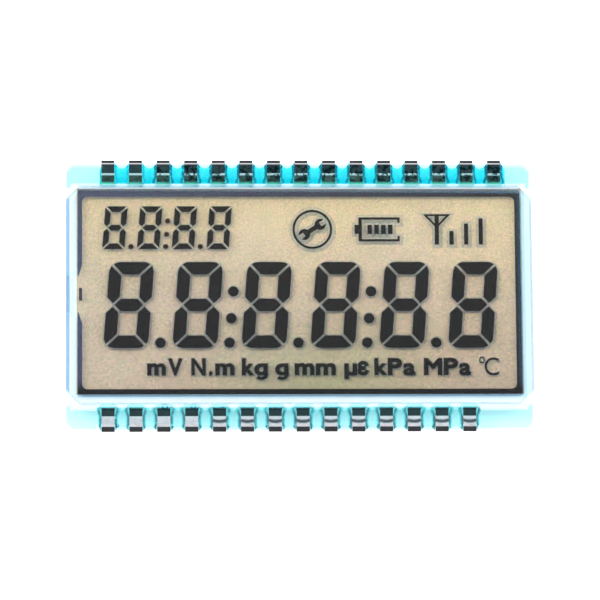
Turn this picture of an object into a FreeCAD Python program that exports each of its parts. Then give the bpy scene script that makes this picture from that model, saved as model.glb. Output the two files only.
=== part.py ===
import FreeCAD, Part
import math
import os
import re
import Sketcher

# Glass segment display that stands on two rows of clip pins.
# Frame: +X along the pin rows, +Y towards the fifteen-pin row, +Z out of the display face.
# Origin: middle of the foot print, in the plane of the pin tips. Millimetres.

os.makedirs("parts", exist_ok=True)

# Driving sizes. The rows of figures set the view, the view sets the seal, and the seal sets
# the glass. Places on the display face are counted from the middle of the glass.
SIZES = {
    # View: the window inside the seal, with room for the rows of figures
    "row_margin": 1.734,
    "row_shift": 0.17,
    "unit_row_depth": 3.8,
    "row_space": 1.2,
    "top_margin": 0.9,
    "view_shift": 0.3,
    # Seal and cell
    "seal_width": 0.7,
    "seal_round": 0.5,
    "crystal_thickness": 0.01,
    "electrode_thickness": 0.01,
    # Glass plates
    "seal_end_set_back": 0.8,
    "seal_side_set_back": 0.45,
    "ledge_depth": 2.2,
    "glass_thickness": 1.1,
    "front_glass_corner": 0.9,
    "rear_glass_corner": 0.4,
    # Filling port in the left run of the seal
    "port_width": 3.4,
    "port_shift": 0.15,
    "port_lip": 0.4,
    "island_length": 1.2,
    "island_width": 0.3,
    "plug_depth": 0.5,
    # Films: the front one stops short of the front glass, the rear ones of the rear glass
    "film_end_set_back": 1.0,
    "film_side_set_back": 0.55,
    "film_shift": 0.2,
    "rear_film_end_set_back": 0.45,
    "rear_film_side_set_back": 1.8,
    "rear_film_corner": 0.35,
    "polariser_thickness": 0.2,
    "reflector_thickness": 0.1,
    # Clip pins
    "pin_pitch": 2.54,
    "pin_shift": 0.24,
    "row_end_space": 3.0,
    "pin_drop": 4.0,
    "sheet_thickness": 0.3,
    "head_width": 1.2,
    "lead_width": 0.5,
    "prong_width": 0.25,
    "edge_clearance": 0.02,
    "bend_radius": 0.12,
    "shoulder_rise": 0.22,
    "finger_clearance": 0.45,
    "finger_touch": 1.0,
    "touch_flat": 0.2,
    "tip_rise": 0.2,
    "prong_reach": 1.3,
    "prong_touch": 0.8,
    "prong_dip": 0.2,
    "lead_taper": 0.6,
    "lead_point": 0.25,
    # Resin beads over the contact ledges
    "bead_wall_rise": 0.75,
    "bead_edge_rise": 0.14,
    "bead_crown": 5.0,
    "bead_set_back": 0.05,
    "bead_overrun": 0.45,
    "notch_depth": 0.35,
    "notch_space": 0.05,
    # Large digits
    "digit_height": 8.0,
    "digit_width": 4.1,
    "digit_stroke": 1.16,
    "digit_gap": 0.22,
    "digit_round": 1.0,
    "digit_space": 2.22,
    "digit_lean": 0.079,
    "point_diameter": 0.97,
    "colon_spread": 2.5,
    # Small digits
    "small_height": 4.0,
    "small_width": 2.04,
    "small_stroke": 0.53,
    "small_gap": 0.17,
    "small_round": 0.2,
    "small_space": 1.15,
    "small_row_inset": 3.01,
    "small_point_diameter": 0.47,
    "small_colon_spread": 1.24,
    # Symbols beside the small digits, counted from the right end of the view
    "symbol_drop": 0.16,
    "signal_inset": 7.18,
    "battery_space": 2.15,
    "spanner_space": 2.06,
    # Spanner symbol in its ring
    "ring_radius": 1.83,
    "ring_line": 0.21,
    "spanner_turn": 33.0,
    "spanner_length": 1.75,
    "spanner_handle": 0.44,
    "spanner_head": 0.52,
    "spanner_jaw": 0.42,
    # Battery symbol
    "battery_length": 3.8,
    "battery_height": 2.26,
    "battery_line": 0.22,
    "battery_end_line": 0.31,
    "battery_hook": 0.52,
    "battery_nub_length": 0.36,
    "battery_nub_height": 0.85,
    "charge_inset": 0.82,
    "charge_pitch": 0.633,
    "charge_width": 0.42,
    "charge_height": 0.87,
    # Aerial symbol with its signal bars
    "mast_height": 2.85,
    "mast_width": 0.39,
    "sail_half_width": 1.27,
    "sail_depth": 1.12,
    "sail_line": 0.18,
    "signal_pitch": 1.35,
    "signal_first": 1.27,
    "signal_second": 1.98,
    "signal_third": 2.47,
}

UP = FreeCAD.Vector(0, 0, 1)
LARGE_DIGITS = 6
SMALL_DIGITS = 4
CHARGE_BARS = 4

doc = FreeCAD.newDocument("segment_display")
sheet = doc.addObject("Spreadsheet::Sheet", "Sizes")
for row, (name, value) in enumerate(SIZES.items(), start=1):
    sheet.set(f"A{row}", name.replace("_", " "))
    sheet.set(f"B{row}", str(value))
    sheet.setAlias(f"B{row}", name)
doc.recompute()

# Levels above the pin tips, and other places that several pieces share
REAR_FACE = "(pin_drop)"
LEDGE = "(pin_drop + glass_thickness)"
FILM_LEVEL = "(pin_drop + glass_thickness + crystal_thickness)"
FRONT_GLASS_BACK = "(pin_drop + glass_thickness + crystal_thickness + electrode_thickness)"
FRONT_FACE = "(pin_drop + 2 * glass_thickness + crystal_thickness + electrode_thickness)"

# The view: its ends, its top and its bottom, and the middles of the rows in it
DIGIT_PITCH = "(digit_width + digit_space)"
VIEW_END = (f"({DIGIT_PITCH} * {(LARGE_DIGITS - 1) / 2} + (digit_width + digit_height * digit_lean) / 2"
            " + row_margin)")
VIEW_DEPTH = "(unit_row_depth + digit_height + row_space + small_height + top_margin)"
VIEW_TOP = f"(view_shift + {VIEW_DEPTH} / 2)"
VIEW_BOTTOM = f"(view_shift - {VIEW_DEPTH} / 2)"
DIGIT_ROW = f"({VIEW_BOTTOM} + unit_row_depth + digit_height / 2)"
SMALL_ROW = f"({VIEW_TOP} - top_margin - small_height / 2)"
SYMBOL_ROW = f"({SMALL_ROW} - symbol_drop)"

# Half lengths and half depths of the plates
GLASS_END = f"({VIEW_END} + seal_width + seal_end_set_back)"
WALL = f"({VIEW_DEPTH} / 2 + seal_width + seal_side_set_back)"
GLASS_EDGE = f"({WALL} + ledge_depth)"


def bound(expression):
    """Write a size expression so that it reads its cells in the sheet."""
    def cell(word):
        return f"Sizes.{word.group()}" if word.group() in SIZES else word.group()
    return re.sub(r"[a-z_]\w*", cell, str(expression))


def value(expression):
    """Give the number that a size expression comes to."""
    return float(sheet.evalExpression(bound(expression)))


def new_body(name):
    body = doc.addObject("PartDesign::Body", name)
    body.Label = name
    body.AllowCompound = True
    return body


def new_sketch(body, name, plane="XY_Plane", level=None):
    """Start a sketch on one of the body's own planes, raised by level along its normal."""
    sketch = body.newObject("Sketcher::SketchObject", name)
    origin_plane = next(item for item in body.Origin.OriginFeatures if item.Role == plane)
    sketch.AttachmentSupport = [(origin_plane, "")]
    sketch.MapMode = "FlatFace"
    if level is not None:
        sketch.setExpression("AttachmentOffset.Base.z", bound(level))
    return sketch


def outline(sketch, corners):
    """Draw a closed outline through corners, each held to its size expressions.

    A corner is (x, y), or (x, y, radius, turn) where the edge that leaves it is an arc
    that turns left (+1) or right (-1).
    """
    first = sketch.GeometryCount
    count = len(corners)
    points = [FreeCAD.Vector(value(corner[0]), value(corner[1]), 0) for corner in corners]
    edges = []
    ends = []
    for index, corner in enumerate(corners):
        start, end = points[index], points[(index + 1) % count]
        if len(corner) == 2:
            edges.append(Part.LineSegment(start, end))
            ends.append((1, 2))
            continue
        radius, turn = value(corner[2]), corner[3]
        chord = end - start
        height = math.sqrt(max(radius ** 2 - (chord.Length / 2) ** 2, 0))
        left = FreeCAD.Vector(-chord.y, chord.x, 0).normalize()
        centre = (start + end) / 2 + left * height * turn
        low, high = (start, end) if turn > 0 else (end, start)
        angles = [math.atan2(point.y - centre.y, point.x - centre.x) for point in (low, high)]
        edges.append(Part.ArcOfCircle(Part.Circle(centre, UP, radius), angles[0], angles[1]))
        ends.append((1, 2) if turn > 0 else (2, 1))
    sketch.addGeometry(edges, False)
    held = []
    for index, corner in enumerate(corners):
        edge, point = first + index, ends[index][0]
        held.append((Sketcher.Constraint("DistanceX", -1, 1, edge, point, points[index].x), corner[0]))
        held.append((Sketcher.Constraint("DistanceY", -1, 1, edge, point, points[index].y), corner[1]))
        if len(corner) == 4:
            held.append((Sketcher.Constraint("Radius", edge, value(corner[2])), corner[2]))
        following = (index + 1) % count
        held.append((Sketcher.Constraint(
            "Coincident", edge, ends[index][1], first + following, ends[following][0]), None))
    hold(sketch, held)


def circle(sketch, across, up, radius):
    centre = FreeCAD.Vector(value(across), value(up), 0)
    index = sketch.addGeometry(Part.Circle(centre, UP, value(radius)), False)
    hold(sketch, [
        (Sketcher.Constraint("DistanceX", -1, 1, index, 3, centre.x), across),
        (Sketcher.Constraint("DistanceY", -1, 1, index, 3, centre.y), up),
        (Sketcher.Constraint("Radius", index, value(radius)), radius),
    ])


def hold(sketch, held):
    """Add constraints, and bind each that has a size expression to it."""
    first = sketch.ConstraintCount
    sketch.addConstraint([constraint for constraint, expression in held])
    for number, (constraint, expression) in enumerate(held, start=first):
        if expression is not None:
            sketch.setExpression(f"Constraints[{number}]", bound(expression))


def rectangle(sketch, left, bottom, width, height):
    right, top = f"({left} + {width})", f"({bottom} + {height})"
    outline(sketch, [(left, bottom), (right, bottom), (right, top), (left, top)])


def pad(body, sketch, length, both_ways=False):
    feature = body.newObject("PartDesign::Pad", sketch.Name + "_pad")
    feature.Profile = sketch
    feature.setExpression("Length", bound(length))
    if both_ways:
        feature.SideType = "Symmetric"
    return feature


def pocket(body, sketch):
    """Cut a sketch right through the body, both ways from its plane."""
    feature = body.newObject("PartDesign::Pocket", sketch.Name + "_pocket")
    feature.Profile = sketch
    feature.SideType = "Symmetric"
    feature.Type = "ThroughAll"
    return feature


def stand(body, across, up=0, turn=None):
    """Place a body on the plan, turned about the vertical where it has a turn."""
    body.Placement.Rotation = FreeCAD.Rotation(UP, 0 if turn is None else value(turn))
    body.setExpression("Placement.Base.x", bound(across))
    body.setExpression("Placement.Base.y", bound(up))


def plate(name, level, thickness, corners):
    """Make a flat piece from its plan outline."""
    body = new_body(name)
    sketch = new_sketch(body, name + "_plan", level=level)
    outline(sketch, corners)
    pad(body, sketch, thickness)
    return body


# Plan outlines

def ground_plan(x, y, front_corner, back_corner):
    """Plate that reaches x and y both ways, its corners cut off, front_corner at +Y."""
    return [
        (f"({back_corner} - {x})", f"(-{y})"), (f"({x} - {back_corner})", f"(-{y})"),
        (x, f"({back_corner} - {y})"), (x, f"({y} - {front_corner})"),
        (f"({x} - {front_corner})", y), (f"({front_corner} - {x})", y),
        (f"(-{x})", f"({y} - {front_corner})"), (f"(-{x})", f"({back_corner} - {y})"),
    ]


def square_plan(x, y, shift):
    """Film that reaches x and y both ways, cut square and moved by shift towards +Y."""
    return [(f"(-{x})", f"({shift} - {y})"), (x, f"({shift} - {y})"),
            (x, f"({shift} + {y})"), (f"(-{x})", f"({shift} + {y})")]


# Glass plates and films

FRONT_FILM = square_plan(f"({GLASS_END} - film_end_set_back)", f"({WALL} - film_side_set_back)",
                         "film_shift")
REAR_FILM = ground_plan(f"({GLASS_END} - rear_film_end_set_back)",
                        f"({GLASS_EDGE} - rear_film_side_set_back)",
                        "rear_film_corner", "rear_film_corner")
nodes = [
    plate("rear_glass", REAR_FACE, "glass_thickness",
          ground_plan(GLASS_END, GLASS_EDGE, "rear_glass_corner", "rear_glass_corner")),
    plate("front_glass", FRONT_GLASS_BACK, "glass_thickness",
          ground_plan(GLASS_END, WALL, "front_glass_corner", "rear_glass_corner")),
    plate("front_polariser", FRONT_FACE, "polariser_thickness", FRONT_FILM),
    plate("rear_polariser", f"({REAR_FACE} - polariser_thickness)", "polariser_thickness",
          REAR_FILM),
    plate("reflector", f"({REAR_FACE} - polariser_thickness - reflector_thickness)",
          "reflector_thickness", REAR_FILM),
]

# Seal around the liquid crystal. Its left run is open at the filling port, where two lips
# reach the end of the glass, with an island between them.
SEAL_END = f"({VIEW_END} + seal_width)"
SEAL_TOP = f"({VIEW_TOP} + seal_width)"
SEAL_BOTTOM = f"({VIEW_BOTTOM} - seal_width)"
PORT_TOP = "(port_shift + port_width / 2)"
PORT_BOTTOM = "(port_shift - port_width / 2)"
PORT_MOUTH = f"(-{GLASS_END})"
ISLAND = (f"(-{VIEW_END} - island_width)", "(port_shift - island_length / 2)",
          "island_width", "island_length")

seal = new_body("perimeter_seal")
seal_plan = new_sketch(seal, "seal_plan", level=LEDGE)
outline(seal_plan, [
    (PORT_MOUTH, PORT_TOP), (f"(-{VIEW_END})", PORT_TOP),
    (f"(-{VIEW_END})", f"({VIEW_TOP} - seal_round)", "seal_round", -1),
    (f"(seal_round - {VIEW_END})", VIEW_TOP), (f"({VIEW_END} - seal_round)", VIEW_TOP, "seal_round", -1),
    (VIEW_END, f"({VIEW_TOP} - seal_round)"),
    (VIEW_END, f"({VIEW_BOTTOM} + seal_round)", "seal_round", -1),
    (f"({VIEW_END} - seal_round)", VIEW_BOTTOM),
    (f"(seal_round - {VIEW_END})", VIEW_BOTTOM, "seal_round", -1),
    (f"(-{VIEW_END})", f"({VIEW_BOTTOM} + seal_round)"),
    (f"(-{VIEW_END})", PORT_BOTTOM), (PORT_MOUTH, PORT_BOTTOM),
    (PORT_MOUTH, f"({PORT_BOTTOM} - port_lip)"), (f"(-{SEAL_END})", f"({PORT_BOTTOM} - port_lip)"),
    (f"(-{SEAL_END})", f"({SEAL_BOTTOM} + seal_round)", "seal_round", 1),
    (f"(seal_round - {SEAL_END})", SEAL_BOTTOM),
    (f"({SEAL_END} - seal_round)", SEAL_BOTTOM, "seal_round", 1),
    (SEAL_END, f"({SEAL_BOTTOM} + seal_round)"),
    (SEAL_END, f"({SEAL_TOP} - seal_round)", "seal_round", 1),
    (f"({SEAL_END} - seal_round)", SEAL_TOP),
    (f"(seal_round - {SEAL_END})", SEAL_TOP, "seal_round", 1),
    (f"(-{SEAL_END})", f"({SEAL_TOP} - seal_round)"),
    (f"(-{SEAL_END})", f"({PORT_TOP} + port_lip)"), (PORT_MOUTH, f"({PORT_TOP} + port_lip)"),
])
rectangle(seal_plan, *ISLAND)
pad(seal, seal_plan, "(crystal_thickness + electrode_thickness)")
nodes.append(seal)

# Liquid crystal: it fills the view inside the seal and the port as far as the plug
crystal = new_body("liquid_crystal")
crystal_plan = new_sketch(crystal, "crystal_plan", level=LEDGE)
outline(crystal_plan, [
    (f"(plug_depth - {GLASS_END})", PORT_BOTTOM), (f"(-{VIEW_END})", PORT_BOTTOM),
    (f"(-{VIEW_END})", f"({VIEW_BOTTOM} + seal_round)", "seal_round", 1),
    (f"(seal_round - {VIEW_END})", VIEW_BOTTOM),
    (f"({VIEW_END} - seal_round)", VIEW_BOTTOM, "seal_round", 1),
    (VIEW_END, f"({VIEW_BOTTOM} + seal_round)"),
    (VIEW_END, f"({VIEW_TOP} - seal_round)", "seal_round", 1),
    (f"({VIEW_END} - seal_round)", VIEW_TOP),
    (f"(seal_round - {VIEW_END})", VIEW_TOP, "seal_round", 1),
    (f"(-{VIEW_END})", f"({VIEW_TOP} - seal_round)"),
    (f"(-{VIEW_END})", PORT_TOP), (f"(plug_depth - {GLASS_END})", PORT_TOP),
])
rectangle(crystal_plan, *ISLAND)
pad(crystal, crystal_plan, "crystal_thickness")
nodes.append(crystal)

plug = new_body("port_plug")
plug_plan = new_sketch(plug, "plug_plan", level=LEDGE)
rectangle(plug_plan, PORT_MOUTH, PORT_BOTTOM, "plug_depth", "port_width")
pad(plug, plug_plan, "(crystal_thickness + electrode_thickness)")
nodes.append(plug)


# Seven-segment digits. Each is drawn upright from its lower left corner and then leant.
# Mitres run at 45 degrees through the outer corners and through the middle of the uprights;
# half a gap is left on each side of a mitre.

def seven_segments(width, height, stroke, gap, radius):
    x_far, y_far, middle = width, height, f"({height} / 2)"
    half_gap = f"({gap} / sqrt(2))"
    # Distance along an outer edge from the corner to where a mitre meets the round corner
    nip = f"({radius} + ({half_gap} - sqrt(2 * {radius} ^ 2 - {half_gap} ^ 2)) / 2)"
    near_nip = f"({nip} - {half_gap})"
    inner = f"({stroke} + {half_gap})"
    shoulder = f"({stroke} / 2 + {half_gap})"
    cap = [
        (nip, near_nip, radius, 1), (radius, "0"), (f"({x_far} - {radius})", "0", radius, 1),
        (f"({x_far} - {nip})", near_nip), (f"({x_far} - {inner})", stroke), (inner, stroke),
    ]
    upright = [
        (near_nip, nip), (stroke, inner), (stroke, f"({middle} - {shoulder})"),
        (f"({stroke} / 2)", f"({middle} - {half_gap})"), ("0", f"({middle} - {shoulder})"),
        ("0", radius, radius, 1),
    ]
    bar = [
        (f"({stroke} / 2 + {half_gap})", middle), (inner, f"({middle} - {stroke} / 2)"),
        (f"({x_far} - {inner})", f"({middle} - {stroke} / 2)"),
        (f"({x_far} - {stroke} / 2 - {half_gap})", middle),
        (f"({x_far} - {inner})", f"({middle} + {stroke} / 2)"),
        (inner, f"({middle} + {stroke} / 2)"),
    ]
    caps = [cap, flipped(cap, 1, y_far)]
    left = [upright, flipped(upright, 1, y_far)]
    right = [flipped(segment, 0, x_far) for segment in left]
    return caps + left + right + [bar]


def flipped(corners, axis, far):
    """Mirror an outline inside a box that ends at far, keeping each arc on its own edge."""
    turned = []
    for index, corner in enumerate(corners):
        place = list(corner[:2])
        place[axis] = f"({far} - {place[axis]})"
        turned.append(tuple(place) + ((corner[2], -corner[3]) if len(corner) == 4 else ()))
    return turned


def leant(corners, width, height):
    """Centre an outline on the middle of its digit and lean it."""
    placed = []
    for corner in corners:
        up = f"({corner[1]} - {height} / 2)"
        placed.append((f"({corner[0]} - {width} / 2 + {up} * digit_lean)", up) + corner[2:])
    return placed


def digit(name, kind, across, up):
    width, height = f"{kind}_width", f"{kind}_height"
    segments = seven_segments(width, height, f"{kind}_stroke", f"{kind}_gap", f"{kind}_round")
    body = new_body(name)
    sketch = new_sketch(body, name + "_plan", level=FILM_LEVEL)
    for segment in segments:
        outline(sketch, leant(segment, width, height))
    pad(body, sketch, "electrode_thickness")
    stand(body, across, up)
    return body


def dots(name, places, diameter):
    body = new_body(name)
    sketch = new_sketch(body, name + "_plan", level=FILM_LEVEL)
    for across, up in places:
        circle(sketch, across, up, f"({diameter} / 2)")
    pad(body, sketch, "electrode_thickness")
    return body


def digit_place(number):
    """The row of large digits is centred on the view, moved by row_shift."""
    return f"(row_shift + {DIGIT_PITCH} * ({number} - {(LARGE_DIGITS - 1) / 2}))"


def small_place(number):
    return f"(small_row_inset - {VIEW_END} + (small_width + small_space) * {number})"


def dot_places(place, row, number, heights):
    """Places of the dots half a pitch after digit number, leant as the digits are."""
    return [(f"({place(number + 0.5)} + {height} * digit_lean)", f"({row} + {height})")
            for height in heights]


for number in range(LARGE_DIGITS):
    nodes.append(digit(f"large_digit_{number + 1}", "digit", digit_place(number), DIGIT_ROW))
for number in range(SMALL_DIGITS):
    nodes.append(digit(f"small_digit_{number + 1}", "small", small_place(number), SMALL_ROW))

LARGE_POINT = ["((point_diameter - digit_height) / 2)"]
LARGE_COLON = ["(colon_spread / 2)", "(-colon_spread / 2)"]
SMALL_POINT = ["((small_point_diameter - small_height) / 2)"]
SMALL_COLON = ["(small_colon_spread / 2)", "(-small_colon_spread / 2)"]
nodes.append(dots("large_points", [
    place for number in range(LARGE_DIGITS - 1)
    for place in dot_places(digit_place, DIGIT_ROW, number, LARGE_POINT)], "point_diameter"))
nodes.append(dots("large_colons", [
    place for number in (1, 3)
    for place in dot_places(digit_place, DIGIT_ROW, number, LARGE_COLON)], "point_diameter"))
nodes.append(dots("small_points", [
    place for number in range(SMALL_DIGITS - 1)
    for place in dot_places(small_place, SMALL_ROW, number, SMALL_POINT)], "small_point_diameter"))
nodes.append(dots("small_colon", dot_places(small_place, SMALL_ROW, 1, SMALL_COLON),
                  "small_point_diameter"))

# Symbols stand in one row, each a space away from the one on its right
MAST = f"({VIEW_END} - signal_inset)"
BATTERY = f"({MAST} - sail_half_width - battery_space - battery_length)"
SPANNER = f"({BATTERY} - battery_nub_length - spanner_space - ring_radius)"

# Spanner in a ring: a bar between two round heads, each with an open jaw
spanner = new_body("spanner_symbol")
ring_plan = new_sketch(spanner, "ring_plan", level=FILM_LEVEL)
circle(ring_plan, "0", "0", "ring_radius")
circle(ring_plan, "0", "0", "(ring_radius - ring_line)")
pad(spanner, ring_plan, "electrode_thickness")
handle_plan = new_sketch(spanner, "handle_plan", level=FILM_LEVEL)
rectangle(handle_plan, "(-spanner_length / 2)", "(-spanner_handle / 2)",
          "spanner_length", "spanner_handle")
pad(spanner, handle_plan, "electrode_thickness")
head_plan = new_sketch(spanner, "head_plan", level=FILM_LEVEL)
circle(head_plan, "(-spanner_length / 2)", "0", "spanner_head")
circle(head_plan, "(spanner_length / 2)", "0", "spanner_head")
pad(spanner, head_plan, "electrode_thickness")
jaw_plan = new_sketch(spanner, "jaw_plan", level=FILM_LEVEL)
rectangle(jaw_plan, "(-spanner_length / 2 - spanner_head)", "(-spanner_jaw / 2)",
          "spanner_head", "spanner_jaw")
rectangle(jaw_plan, "(spanner_length / 2)", "(-spanner_jaw / 2)", "spanner_head", "spanner_jaw")
pocket(spanner, jaw_plan)
stand(spanner, SPANNER, SYMBOL_ROW, "spanner_turn")
nodes.append(spanner)

# Battery: a case that is open at its right end between two hooks, with its charge bars
battery = new_body("battery_symbol")
battery_plan = new_sketch(battery, "battery_plan", level=FILM_LEVEL)
NUB_TOP = "((battery_height + battery_nub_height) / 2)"
NUB_BOTTOM = "((battery_height - battery_nub_height) / 2)"
outline(battery_plan, [
    ("0", "0"), ("battery_length", "0"), ("battery_length", "battery_hook"),
    ("(battery_length - battery_line)", "battery_hook"),
    ("(battery_length - battery_line)", "battery_line"),
    ("battery_end_line", "battery_line"),
    ("battery_end_line", "(battery_height - battery_line)"),
    ("(battery_length - battery_line)", "(battery_height - battery_line)"),
    ("(battery_length - battery_line)", "(battery_height - battery_hook)"),
    ("battery_length", "(battery_height - battery_hook)"), ("battery_length", "battery_height"),
    ("0", "battery_height"), ("0", NUB_TOP), ("(-battery_nub_length)", NUB_TOP),
    ("(-battery_nub_length)", NUB_BOTTOM), ("0", NUB_BOTTOM),
])
for number in range(CHARGE_BARS):
    rectangle(battery_plan, f"(charge_inset + charge_pitch * {number})",
              "((battery_height - charge_height) / 2)", "charge_width", "charge_height")
pad(battery, battery_plan, "electrode_thickness")
stand(battery, BATTERY, f"({SYMBOL_ROW} - battery_height / 2)")
nodes.append(battery)

# Aerial: a mast with an outlined sail, and three rising signal bars beside it
aerial = new_body("signal_symbol")
aerial_plan = new_sketch(aerial, "aerial_plan", level=FILM_LEVEL)
SIDE = "(mast_width / 2)"
outline(aerial_plan, [
    (f"(-{SIDE})", "0"), (SIDE, "0"), (SIDE, "(mast_height - sail_depth)"),
    ("sail_half_width", "mast_height"), ("(-sail_half_width)", "mast_height"),
    (f"(-{SIDE})", "(mast_height - sail_depth)"),
])
window = [
    (SIDE, "(mast_height - sail_depth + 1.4 * sail_line)"),
    ("(sail_half_width - 2.4 * sail_line)", "(mast_height - sail_line)"),
    (SIDE, "(mast_height - sail_line)"),
]
outline(aerial_plan, window)
outline(aerial_plan, [(f"(-{across})", up) for across, up in window])
for number, bar_height in enumerate(["signal_first", "signal_second", "signal_third"], start=1):
    rectangle(aerial_plan, f"(signal_pitch * {number} - {SIDE})", "0", "mast_width", bar_height)
pad(aerial, aerial_plan, "electrode_thickness")
stand(aerial, MAST, f"({SYMBOL_ROW} - mast_height / 2)")
nodes.append(aerial)


# Clip pins. Each is one blank of sheet: a sprung finger presses on the ledge, the back
# passes the edge of the rear glass, two prongs close under it, and the lead goes down. The
# shoulder is a round bend; the tight bends are pressed sharp and are flats at 45 degrees.
# Both rows have one pin for each place of a common grid, and the bottom row leaves out the
# last place.
TOP_PINS = 1 + int(value(f"2 * ({GLASS_END} - row_end_space) / pin_pitch"))
BOTTOM_PINS = TOP_PINS - 1
BACK = f"({GLASS_EDGE} + edge_clearance)"
OUTSIDE = f"({GLASS_EDGE} + edge_clearance + sheet_thickness)"
BEND = f"({GLASS_EDGE} + edge_clearance - bend_radius)"
OUTER_BEND = "(bend_radius + sheet_thickness)"


def gripped(touch):
    """Two places that bound the flat with which a spring part presses on the glass."""
    return (f"({GLASS_EDGE} - {touch} + touch_flat / 2)", f"({GLASS_EDGE} - {touch} - touch_flat / 2)")


def head_section():
    outer_touch, inner_touch = gripped("finger_touch")
    tip = f"({WALL} + finger_clearance)"
    shoulder = f"({LEDGE} + shoulder_rise)"
    return [
        (BACK, REAR_FACE), (OUTSIDE, REAR_FACE),
        (OUTSIDE, f"({shoulder} - bend_radius)", OUTER_BEND, 1),
        (BEND, f"({shoulder} + sheet_thickness)"),
        (outer_touch, f"({LEDGE} + sheet_thickness)"), (inner_touch, f"({LEDGE} + sheet_thickness)"),
        (tip, f"({LEDGE} + tip_rise + sheet_thickness)"), (tip, f"({LEDGE} + tip_rise)"),
        (inner_touch, LEDGE), (outer_touch, LEDGE), (BEND, shoulder),
        (BACK, f"({shoulder} - bend_radius)"),
    ]


def prong_section():
    outer_touch, inner_touch = gripped("prong_touch")
    tip = f"({GLASS_EDGE} - prong_reach)"
    dip = f"({REAR_FACE} - prong_dip)"
    return [
        (OUTSIDE, REAR_FACE), (BACK, REAR_FACE), (BACK, f"({dip} + bend_radius)"),
        (BEND, dip), (outer_touch, REAR_FACE), (inner_touch, REAR_FACE), (tip, dip),
        (tip, f"({dip} - sheet_thickness)"), (inner_touch, f"({REAR_FACE} - sheet_thickness)"),
        (outer_touch, f"({REAR_FACE} - sheet_thickness)"),
        (BEND, f"({dip} - sheet_thickness)"), (OUTSIDE, f"({dip} + bend_radius)"),
    ]


def lead_face():
    return [
        ("(-lead_point / 2)", "0"), ("(lead_point / 2)", "0"), ("(lead_width / 2)", "lead_taper"),
        ("(lead_width / 2)", REAR_FACE), ("(-lead_width / 2)", REAR_FACE),
        ("(-lead_width / 2)", "lead_taper"),
    ]


def clip_pin(name, across, turn):
    body = new_body(name)
    head_sketch = new_sketch(body, name + "_head", "YZ_Plane")
    outline(head_sketch, head_section())
    pad(body, head_sketch, "head_width", both_ways=True)
    prong_sketch = new_sketch(body, name + "_prong", "YZ_Plane", "(head_width / 2 - prong_width)")
    outline(prong_sketch, prong_section())
    prong = pad(body, prong_sketch, "prong_width")
    pair = body.newObject("PartDesign::Mirrored", name + "_prongs")
    pair.Originals = [prong]
    pair.MirrorPlane = (next(item for item in body.Origin.OriginFeatures
                             if item.Role == "YZ_Plane"), [""])
    body.Tip = pair
    lead_sketch = new_sketch(body, name + "_lead", "XZ_Plane", f"(-{OUTSIDE})")
    outline(lead_sketch, lead_face())
    body.Tip = pad(body, lead_sketch, "sheet_thickness")
    stand(body, across, turn=turn)
    return body


def pin_place(number):
    """The grid is centred on the longer row, and lies a little off the middle of the glass."""
    return f"(pin_pitch * {number - (TOP_PINS - 1) / 2} + pin_shift)"


top_row = [clip_pin(f"pin_top_{number + 1:02}", pin_place(number), "0") for number in range(TOP_PINS)]
bottom_row = [clip_pin(f"pin_bottom_{number + 1:02}", pin_place(number), "180")
              for number in range(BOTTOM_PINS)]
nodes += top_row + bottom_row


# Resin beads: each lies against the front glass and over the fingers of its row, and its
# outer border draws back in a notch between the pins.

def bead(name, row, turn):
    count = len(row)
    body = new_body(name + "_blank")
    section = new_sketch(body, name + "_section", "YZ_Plane")
    border = f"({GLASS_EDGE} - bead_set_back)"
    outline(section, [
        (WALL, LEDGE), (border, LEDGE), (border, f"({LEDGE} + bead_edge_rise)", "bead_crown", 1),
        (WALL, f"({LEDGE} + bead_wall_rise)"),
    ])
    pad(body, section, f"(pin_pitch * {count - 1} + head_width + 2 * bead_overrun)", both_ways=True)
    notch = new_sketch(body, name + "_notch", level=LEDGE)
    first_gap = f"(-pin_pitch * {(count - 2) / 2})"
    half_notch = "((pin_pitch - head_width) / 2 - notch_space)"
    outline(notch, [
        (first_gap, f"({border} - notch_depth)"), (f"({first_gap} + {half_notch})", border),
        (f"({first_gap} + {half_notch})", GLASS_EDGE), (f"({first_gap} - {half_notch})", GLASS_EDGE),
        (f"({first_gap} - {half_notch})", border),
    ])
    first = pocket(body, notch)
    doc.recompute()
    run = body.newObject("PartDesign::LinearPattern", name + "_notches")
    run.Originals = [first]
    run.Direction = (notch, ["H_Axis"])
    run.setExpression("Length", bound(f"pin_pitch * {count - 2}"))
    run.Occurrences = count - 1
    body.Tip = run
    middle = f"(pin_pitch * {(count - TOP_PINS) / 2} + pin_shift)"
    stand(body, middle, turn=turn)
    pins = doc.addObject("Part::Compound", name + "_pins")
    pins.Links = row
    cut = doc.addObject("Part::Cut", name)
    cut.Label = name
    cut.Base = body
    cut.Tool = pins
    return cut


nodes.append(bead("resin_bead_top", top_row, "0"))
nodes.append(bead("resin_bead_bottom", bottom_row, "180"))

doc.recompute()

for item in doc.Objects:
    if "Invalid" in item.State or "Error" in item.State:
        raise SystemExit(f"{item.Label} did not build: {item.State}")
for node in nodes:
    if node.Shape.isNull() or not node.Shape.isValid() or not node.Shape.Solids:
        raise SystemExit(f"{node.Label} has no valid solid")
for node in nodes:
    node.Shape.exportStep(f"parts/{node.Label}.step")
print(len(nodes), "nodes,", sum(len(node.Shape.Solids) for node in nodes), "solids")
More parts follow.
